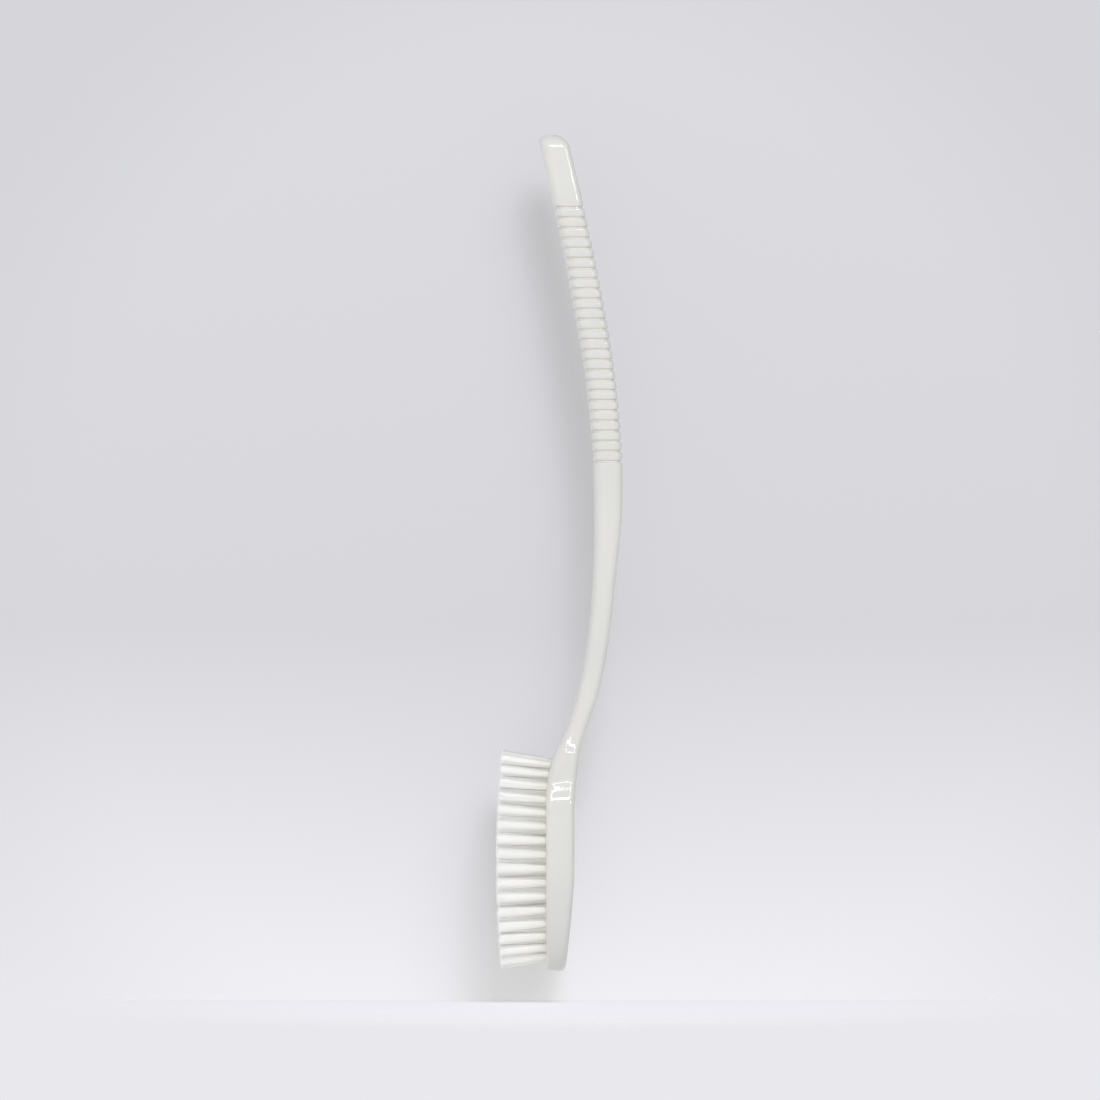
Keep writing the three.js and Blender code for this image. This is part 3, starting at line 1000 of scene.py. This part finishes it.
    @staticmethod
    def _cut(body: bpy.types.Object, cutter: bpy.types.Object) -> None:
        """Cuts a cutter out of the body for good, and removes it.

        Args:
            body: The piece that is cut.
            cutter: The shape to cut out.
        """
        modifier = body.modifiers.new(cutter.name, "BOOLEAN")
        modifier.operation = "DIFFERENCE"
        modifier.solver = "EXACT"
        modifier.object = cutter
        depsgraph = bpy.context.evaluated_depsgraph_get()
        whole = body.data
        body.data = bpy.data.meshes.new_from_object(
            body.evaluated_get(depsgraph), preserve_all_data_layers=True, depsgraph=depsgraph
        )
        body.modifiers.clear()
        body.data.name = body.name
        bpy.data.meshes.remove(whole)
        shape = cutter.data
        bpy.data.objects.remove(cutter)
        bpy.data.meshes.remove(shape)

    def _crease(self, mesh: bpy.types.Mesh) -> None:
        """Smooths every face but keeps the rims of the cut holes crisp.

        Args:
            mesh: The cut body.
        """
        bm = bmesh.new()
        bm.from_mesh(mesh)
        bmesh.ops.dissolve_degenerate(bm, edges=bm.edges, dist=self.sliver)
        for face in bm.faces:
            face.smooth = True
        for edge in bm.edges:
            edge.smooth = edge.calc_face_angle(0.0) < self.crease_angle
        bm.to_mesh(mesh)
        bm.free()


@dataclass(frozen=True)
class Rod:
    """A closed rod of unit length and radius, the shape that strands and cores repeat.

    A station is a share of the length and the rod's share of its full radius there. On a fluted rod
    every second side's edge is drawn in, so that its ridges look like strands side by side.
    """

    name: str
    sides: int
    stations: tuple[Pair, ...]
    flute: float = 0.0

    def mesh(self) -> bpy.types.Mesh:
        """Extrudes the rod from a ring and closes its ends.

        Returns:
            The mesh, with the share of its length marked on it.
        """
        bm = bmesh.new()
        along = bm.verts.layers.float.new(Mark.ALONG.value)
        bm.verts.layers.float_vector.new(Mark.BUNDLE.value)
        first, girth = self.stations[0]
        lift = Matrix.Translation((0, 0, first))
        bmesh.ops.create_circle(bm, segments=self.sides, radius=girth, matrix=lift)
        edges = list(bm.edges)
        for (below, inner), (above, outer) in pairwise(self.stations):
            made = bmesh.ops.extrude_edge_only(bm, edges=edges)["geom"]
            ring = [item for item in made if isinstance(item, bmesh.types.BMVert)]
            edges = [item for item in made if isinstance(item, bmesh.types.BMEdge)]
            bmesh.ops.translate(bm, verts=ring, vec=(0, 0, above - below))
            bmesh.ops.scale(bm, verts=ring, vec=(outer / inner, outer / inner, 1))
        for vert in bm.verts:
            vert[along] = vert.co.z
            edge = round(math.atan2(vert.co.y, vert.co.x) / (2 * math.pi) * self.sides)
            vert.co.xy *= 1 - self.flute * (edge % 2)
        bmesh.ops.holes_fill(bm, edges=[edge for edge in bm.edges if edge.is_boundary], sides=0)
        bmesh.ops.recalc_face_normals(bm, faces=bm.faces)
        for face in bm.faces:
            face.smooth = True
        return mesh_from(bm, self.name)


def straight(*shares: float) -> tuple[Pair, ...]:
    """Gives the stations of a rod that has its full girth at these shares of its length."""
    return tuple((share, 1.0) for share in shares)


STRAND_SIDES = 5
CORE_SIDES = 72
CUT_END = (1.0, 0.5)
CORE_DOME = ((0.95, 0.985), (0.962, 0.93), (0.97, 0.8), (0.978, 0.5), (0.981, 0.2))
CORE_STATIONS = (*straight(0.0, 0.2, 0.35, 0.5, 0.65, 0.8, 0.92), *CORE_DOME)
LONG_STRAND = Rod("long_strand", STRAND_SIDES, (*straight(0.0, 0.22, 0.48, 0.74, 0.988), CUT_END))
TIP_STRAND = Rod("tip_strand", STRAND_SIDES, (*straight(0.93, 0.988), CUT_END))
PACKED_CORE = Rod("packed_core", CORE_SIDES, CORE_STATIONS, flute=0.05)


@dataclass(frozen=True)
class Lie:
    """How one rod lies in its bundle: its spot in a unit circle, its wander, its trim and its girth."""

    spot: Vector = field(default_factory=lambda: Vector((0.0, 0.0)))
    drift: Vector = field(default_factory=lambda: Vector((0.0, 0.0)))
    bow: Vector = field(default_factory=lambda: Vector((0.0, 0.0)))
    trim: float = 0.0
    radius: float = 0.0
    fill: float = 0.0


@dataclass
class TuftSet:
    """A ring or row of tufts: bundles of strands that splay from their holes to a trimmed dome.

    Strands lie close round a core that stands for those packed inside, and more show at the tips.
    """

    name: str
    node: str
    places: list[TuftPlace]
    profile: BodyProfile
    finish: bpy.types.Material
    seed: int
    long_strands: int = 6
    tip_strands: int = 90
    strand_radius: float = 0.14
    shell: Pair = (0.96, 1.0)
    tip_strand_reach: float = 0.97
    core_fill: float = 1.0
    root_depth: float = 5.2
    root_radius: float = 1.9
    tip_radius: float = 3.05
    spread_power: float = 0.8
    length: float = 24.2
    trim_crown: float = 2.0
    trim_dome: float = 0.9
    trim_scatter: float = 0.2
    stray: float = 0.4
    drift: Pair = (0.2, 0.2)
    bow: Pair = (0.1, 0.1)
    lean: Pair = (0.0032, 0.016)
    streak_shift: Pair = (0.0, 50.0)
    field_middle: float = 53.0
    field_half_length: float = 47.0
    field_half_width: float = 20.0
    flare_middle: float = -4.0
    flare_along: float = math.radians(6.7)
    flare_across: float = math.radians(7.2)

    def build(self) -> bpy.types.Object:
        """Builds and dresses the set.

        Returns:
            The finished piece, riding on the part.
        """
        chance = random.Random(self.seed)
        shapes = {rod: rod.mesh() for rod in (PACKED_CORE, LONG_STRAND, TIP_STRAND)}
        bm = bmesh.new()
        for place in self.places:
            tuft = self._tuft(place, shapes, chance)
            bm.from_mesh(tuft)
            bpy.data.meshes.remove(tuft)
        for shape in shapes.values():
            bpy.data.meshes.remove(shape)
        bmesh.ops.transform(bm, matrix=self.profile.to_frame(), verts=bm.verts)
        piece = piece_from(bm, self.name)
        piece.data.materials.append(self.finish)
        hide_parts(self.node)
        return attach(piece, BODY)

    def _tuft(
        self, place: TuftPlace, shapes: dict[Rod, bpy.types.Mesh], chance: random.Random
    ) -> bpy.types.Mesh:
        """Bundles the core and strands of one tuft.

        Args:
            place: Where the tuft leaves the face.
            shapes: The mesh of every kind of rod.
            chance: The set's own seeded chance.

        Returns:
            The tuft's mesh, in millimetres.
        """
        bm = bmesh.new()
        shift = Vector((chance.uniform(*self.streak_shift), chance.uniform(*self.streak_shift), 0.0))
        lean = self._astray(self.lean, chance)
        for rod, lie in self._lies(chance):
            start = len(bm.verts)
            bm.from_mesh(shapes[rod])
            bm.verts.ensure_lookup_table()
            verts = bm.verts[start:]
            bundle = bm.verts.layers.float_vector[Mark.BUNDLE.value]
            for vert in verts:
                inside = Vector((vert.co.x * lie.fill, vert.co.y * lie.fill, vert.co.z))
                vert[bundle] = shift + lie.spot.to_3d() + inside
            self._lay(verts, place, lie, lean)
        return mesh_from(bm, "tuft")

    @staticmethod
    def _astray(reach: Pair, chance: random.Random) -> Vector:
        """Draws a step of up to the reach either way, across and up."""
        return Vector([chance.uniform(-most, most) for most in reach])

    def _lies(self, chance: random.Random) -> list[tuple[Rod, Lie]]:
        """Draws the places of a tuft's core, of the strands round it and of those at its tip.

        Args:
            chance: The set's own seeded chance.

        Returns:
            Each rod's kind and how it lies.
        """
        lies = [(PACKED_CORE, Lie(fill=self.core_fill))]
        for number in range(self.long_strands):
            angle = 2 * math.pi * (number + chance.uniform(-self.stray, self.stray)) / self.long_strands
            lies.append((LONG_STRAND, self._strand_lie(chance.uniform(*self.shell), angle, chance)))
        for number in range(self.tip_strands):
            share = self.tip_strand_reach * math.sqrt((number + 0.5) / self.tip_strands)
            lies.append((TIP_STRAND, self._strand_lie(share, number * GOLDEN_ANGLE, chance)))
        return lies

    def _strand_lie(self, share: float, angle: float, chance: random.Random) -> Lie:
        """Draws how one strand lies.

        Args:
            share: How far it is from the middle of its bundle.
            angle: Its turn round the middle.
            chance: The set's own seeded chance.

        Returns:
            The strand's lie, a little astray.
        """
        spot = Vector((share * math.cos(angle), share * math.sin(angle)))
        drift = self._astray(self.drift, chance)
        bow = self._astray(self.bow, chance)
        trim = self.trim_dome * share**2 + abs(chance.gauss(0, self.trim_scatter))
        return Lie(spot, drift, bow, trim, radius=self.strand_radius)

    def _lay(self, verts: list[bmesh.types.BMVert], place: TuftPlace, lie: Lie, lean: Vector) -> None:
        """Lays one unit rod from its root in the hole to its trimmed tip.

        Args:
            verts: The rod's vertices.
            place: Where its tuft leaves the face.
            lie: How it lies in the bundle.
            lean: How far its whole tuft leans its own way, across and up.
        """
        along = place.height - self.field_middle
        face = self.profile.front_at(place.height)
        tip = self.trim_crown * (along / self.field_half_length) ** 2 - self.length + lie.trim
        root = face + self.root_depth
        reach = face - tip
        flare = lean + Vector((
            math.tan(self.flare_across * place.across / self.field_half_width),
            math.tan(self.flare_along * (along - self.flare_middle) / self.field_half_length),
        ))
        for vert in verts:
            depth = lerp(root, tip, vert.co.z)
            out = max(0.0, (face - depth) / reach)
            bundle = lerp(self.root_radius, self.tip_radius, out**self.spread_power)
            girth = lie.radius + lie.fill * bundle
            centre = lie.spot * bundle + (flare * reach + lie.drift) * out + lie.bow * math.sin(math.pi * out)
            across = place.across + centre.x + vert.co.y * girth
            height = place.height + centre.y + vert.co.x * girth
            vert.co = (depth, across, height)


@dataclass
class TuftAnchors:
    """The pressed strips that hold the tufts, kept as packed and given their metal."""

    finish: PressedBrass
    prefix: str = "tuft_anchor_"

    def names(self) -> list[str]:
        """Gives the anchors' names in order."""
        return sorted(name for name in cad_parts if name.startswith(self.prefix))

    def dress(self) -> int:
        """Gives every anchor its finish.

        Returns:
            How many anchors there are.
        """
        material = self.finish.material()
        for name in self.names():
            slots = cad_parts[name].data.materials
            slots.clear()
            slots.append(material)
        return len(self.names())


@dataclass(frozen=True)
class PaleSurface(Finish):
    """A pale matt surface that takes shadows, shows from one side and fades out into the background."""

    centre: Triple
    solid_reach: float = 0.23
    fade_reach: float = 0.34
    # Painted light: the colour is paler low down and darker high up, as light falls more on the lower
    # backdrop.
    pale_low: Colour = (0.64, 0.64, 0.64, 1.0)
    pale_high: Colour = (0.46, 0.46, 0.46, 1.0)
    glow_low: Colour = (0.115, 0.115, 0.122, 1.0)
    glow_high: Colour = (0.11, 0.11, 0.122, 1.0)
    rise: Pair = (-0.404, -0.223)
    edge_on: float = 0.001
    roughness: float = 0.9
    gloss: float = 0.1

    def shading(self, graph: ShaderGraph) -> dict[str, object]:
        """Paints the surface paler towards the bottom by its height, as painted light, and fades it with
        distance and where it is seen edge on.

        Args:
            graph: The material's graph.

        Returns:
            The shader's values and sockets by the names of its inputs.
        """
        place = graph.place()
        height = graph.spread(graph.height_in(place), self.rise)
        centred = graph.add("ShaderNodeMapping", {"Vector": place, "Location": -Vector(self.centre)})
        away = graph.length(centred.outputs["Vector"])
        reach = (self.solid_reach, self.fade_reach)
        fade = graph.spread(away, reach, UNIT[::-1], interpolation_type="SMOOTHSTEP")
        geometry = graph.add("ShaderNodeNewGeometry").outputs
        turned = graph.spread(graph.dot(geometry["Normal"], geometry["Incoming"]), (0.0, self.edge_on))
        facing = graph.product(turned, graph.spread(geometry["Backfacing"], target=UNIT[::-1]))
        return {
            # Painted light: base colour and glow graded paler towards the bottom by height.
            "Base Color": graph.blend(height, self.pale_low, self.pale_high),
            "Roughness": self.roughness,
            "Specular IOR Level": self.gloss,
            "Emission Color": graph.blend(height, self.glow_low, self.glow_high),
            "Emission Strength": graph.seen(),
            "Alpha": graph.product(fade, facing),
        }


@dataclass(frozen=True)
class Lamp:
    """A rectangular soft lamp, by its radiance so that its size doesn't change how bright it looks."""

    name: str
    place: Triple
    aim: Triple
    size: Pair
    radiance: float
    mirrored: bool = False
    shadows: bool = True
    only: tuple[bpy.types.Object, ...] = ()
    colour: Triple = (1.0, 1.0, 1.0)

    def hang(self) -> None:
        """Puts the lamp in the scene, out of the camera's sight."""
        light = bpy.data.lights.new(self.name, "AREA")
        light.shape = "RECTANGLE"
        light.size, light.size_y = self.size
        light.energy = self.radiance * math.pi * light.size * light.size_y
        light.use_shadow = self.shadows
        light.color = self.colour
        lamp = bpy.data.objects.new(self.name, light)
        lamp.location = self.place
        lamp.rotation_mode = "QUATERNION"
        lamp.rotation_quaternion = (Vector(self.aim) - Vector(self.place)).to_track_quat("-Z", "Y")
        lamp.visible_camera = False
        lamp.visible_glossy = self.mirrored
        lamp.visible_diffuse = not self.mirrored
        if self.only:
            lit = bpy.data.collections.new(f"{self.name}_lit")
            for surface in self.only:
                lit.objects.link(surface)
            lamp.light_linking.receiver_collection = lit
        bpy.context.scene.collection.objects.link(lamp)


@dataclass
class Studio:
    """The floor, soft lamps, pale background and camera round the brush."""

    bristles: tuple[bpy.types.Object, ...]
    reach: float = 0.36
    floor_gap: float = 0.0155
    floor_glow: Colour = (0.235, 0.235, 0.25, 1.0)
    backdrop_gap: float = 0.008
    backdrop_edge_on: float = 0.2
    camera_place: Triple = (-0.00384, -4.5, -0.18655)
    lens: float = 307.9
    sensor: float = 36.0
    middle: Triple = (0.0, 0.0, -0.19)
    shadow_tint: Triple = (0.82, 0.82, 1.0)
    window_near: float = -0.96
    window_far: float = -0.652
    window_side: float = 0.36
    window_level: float = 0.45
    window_radiance: float = 24.0
    near_bar: float = 0.11
    far_bar: float = 0.012
    side_bar: float = 0.06
    # Painted light: the seen background is paler low down and darker high up.
    background_low: Colour = (0.815, 0.815, 0.85, 1.0)
    background_high: Colour = (0.672, 0.672, 0.702, 1.0)
    sweep: Pair = (-0.048, -0.008)
    whole_sky: Pair = (-1.0, 1.0)
    ambient_low: Colour = (0.79, 0.79, 0.78, 1.0)
    ambient_high: Colour = (0.38, 0.38, 0.382, 1.0)

    def build(self) -> None:
        """Sets up the whole studio."""
        self._camera()
        self._lamps(self._surfaces())
        self._world()
        bpy.context.scene.view_settings.view_transform = "Standard"

    def _camera(self) -> None:
        """Puts the camera square to the brush's side, level with its middle."""
        data = bpy.data.cameras.new("camera")
        data.sensor_width = self.sensor
        data.lens = self.lens
        camera = bpy.data.objects.new("camera", data)
        camera.location = self.camera_place
        camera.rotation_euler = (QUARTER_TURN, 0.0, 0.0)
        bpy.context.scene.collection.objects.link(camera)
        bpy.context.scene.camera = camera

    def _surfaces(self) -> tuple[bpy.types.Object, ...]:
        """Lays a floor below the toe of the hanging brush and stands a backdrop behind it.

        Returns:
            The floor and the backdrop.
        """
        low, high = cad_box
        middle, level = (low.x + high.x) / 2, low.z - self.floor_gap
        centre = (middle, 0.0, self.middle[2])
        back = high.y + self.backdrop_gap
        upright = Matrix.Rotation(QUARTER_TURN, 4, "X")
        floor = PaleSurface("pale_floor", centre, glow_low=self.floor_glow)
        flat = Matrix.Translation((middle, 0.0, level))
        backdrop = PaleSurface("pale_backdrop", centre, edge_on=self.backdrop_edge_on)
        standing = Matrix.Translation((middle, back, level + self.reach)) @ upright
        return self._surface("floor", floor, flat), self._surface("backdrop", backdrop, standing)

    def _surface(self, name: str, finish: PaleSurface, placed: Matrix) -> bpy.types.Object:
        """Makes one square surface that the camera sees and that no light bounces off.

        Args:
            name: The surface's name.
            finish: Its finish.
            placed: Where its middle is and how it turns.

        Returns:
            The surface.
        """
        bm = bmesh.new()
        bmesh.ops.create_grid(bm, x_segments=1, y_segments=1, size=self.reach, matrix=placed)
        surface = piece_from(bm, name)
        surface.data.materials.append(finish.material())
        surface.visible_diffuse = False
        surface.visible_glossy = False
        surface.visible_shadow = False
        return surface

    def _lamps(self, stage: tuple[bpy.types.Object, ...]) -> None:
        """Hangs large soft lamps above and in front, and strips that only show as crisp highlights.

        The stage has a lamp of its own that casts the brush's shadow, and the bristles have one that
        reaches in between them as light through nylon does. The strips stand round a window.

        Args:
            stage: The floor and the backdrop.
        """
        near, far, side = self.window_near, self.window_far, self.window_side
        middle, depth = (near + far) / 2, far - near
        softboxes = (
            Lamp("key_softbox", (1.5, -3.0, 2.2), self.middle, (1.8, 1.8), radiance=2.9),
            Lamp(
                "shadow_softbox",
                (0.6, -3.0, 2.8),
                self.middle,
                (1.3, 1.3),
                radiance=14.5,
                only=stage,
                colour=self.shadow_tint,
            ),
            Lamp("front_fill", (-1.2, -3.0, 1.3), self.middle, (1.5, 1.5), radiance=6.9, shadows=False),
            Lamp(
                "bristle_fill",
                (-1.0, -2.6, -1.6),
                self.middle,
                (1.2, 1.2),
                radiance=6.0,
                shadows=False,
                only=self.bristles,
            ),
        )
        strips = [
            Lamp(name, (x, y, self.window_level), (x, y, 0.0), size, self.window_radiance, mirrored=True)
            for name, x, y, size in (
                ("strip_near", 0.0, near, (2 * side, self.near_bar)),
                ("strip_far", 0.0, far, (2 * side, self.far_bar)),
                ("strip_left", -side, middle, (self.side_bar, depth)),
                ("strip_right", side, middle, (self.side_bar, depth)),
            )
        ]
        edge = Lamp("strip_edge", (0.75, -0.92, 0.2), (0.0, 0.0, 0.0), (0.14, 0.14), 18.0, mirrored=True)
        for lamp in (*softboxes, *strips, edge):
            lamp.hang()

    def _world(self) -> None:
        """Makes the pale background that is seen, painted paler towards the bottom as light on a sweep, and
        the softer light that it gives.
        """
        world = bpy.data.worlds.new("studio")
        world.use_nodes = True
        bpy.context.scene.world = world
        graph = ShaderGraph(world.node_tree)
        direction = graph.add("ShaderNodeTexCoord").outputs["Generated"]
        up = graph.height_in(direction)
        # Painted light: the seen background is graded paler towards the bottom.
        backdrop = graph.blend(graph.spread(up, self.sweep), self.background_low, self.background_high)
        ambient = graph.blend(graph.spread(up, self.whole_sky), self.ambient_low, self.ambient_high)
        seen = graph.add("ShaderNodeBackground", {"Color": backdrop})
        given = graph.add("ShaderNodeBackground", {"Color": ambient})
        mixed = graph.add("ShaderNodeMixShader", {"Fac": graph.seen()})
        graph.feed(mixed.inputs[1], given.outputs["Background"])
        graph.feed(mixed.inputs[2], seen.outputs["Background"])
        graph.add("ShaderNodeOutputWorld", {"Surface": mixed.outputs["Shader"]})


# Each set of tufts: its piece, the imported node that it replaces, its count of tufts and its seed.
TUFT_SETS = (
    ("outer_ring_bristles", "outer_ring_tufts", 33, 11),
    ("middle_ring_bristles", "middle_ring_tufts", 17, 23),
    ("centre_row_bristles", "centre_row_tufts", 6, 37),
)


def main() -> None:
    """Builds every piece of the brush in order, reports each, and builds the studio round them."""
    logging.basicConfig(level=logging.INFO, format="%(name)s: %(message)s")
    profile = BodyProfile()
    anchors = TuftAnchors(PressedBrass())
    log.info("%d tuft anchors dressed", anchors.dress())
    places = [TuftPlace.of_anchor(name, profile) for name in anchors.names()]
    body = MouldedBody(profile, GripRibs(profile), MouldedPlastic(), places).build()
    log.info("%s: %d faces", body.name, len(body.data.polygons))
    nylon = NylonStrand().material()
    bristles = []
    free_places = iter(places)
    for name, node, count, seed in TUFT_SETS:
        filled = list(islice(free_places, count))
        tufts = TuftSet(name, node, filled, profile, nylon, seed).build()
        log.info("%s: %d tufts, %d faces", tufts.name, len(filled), len(tufts.data.polygons))
        bristles.append(tufts)
    Studio(tuple(bristles)).build()


if __name__ == "__main__":
    main()
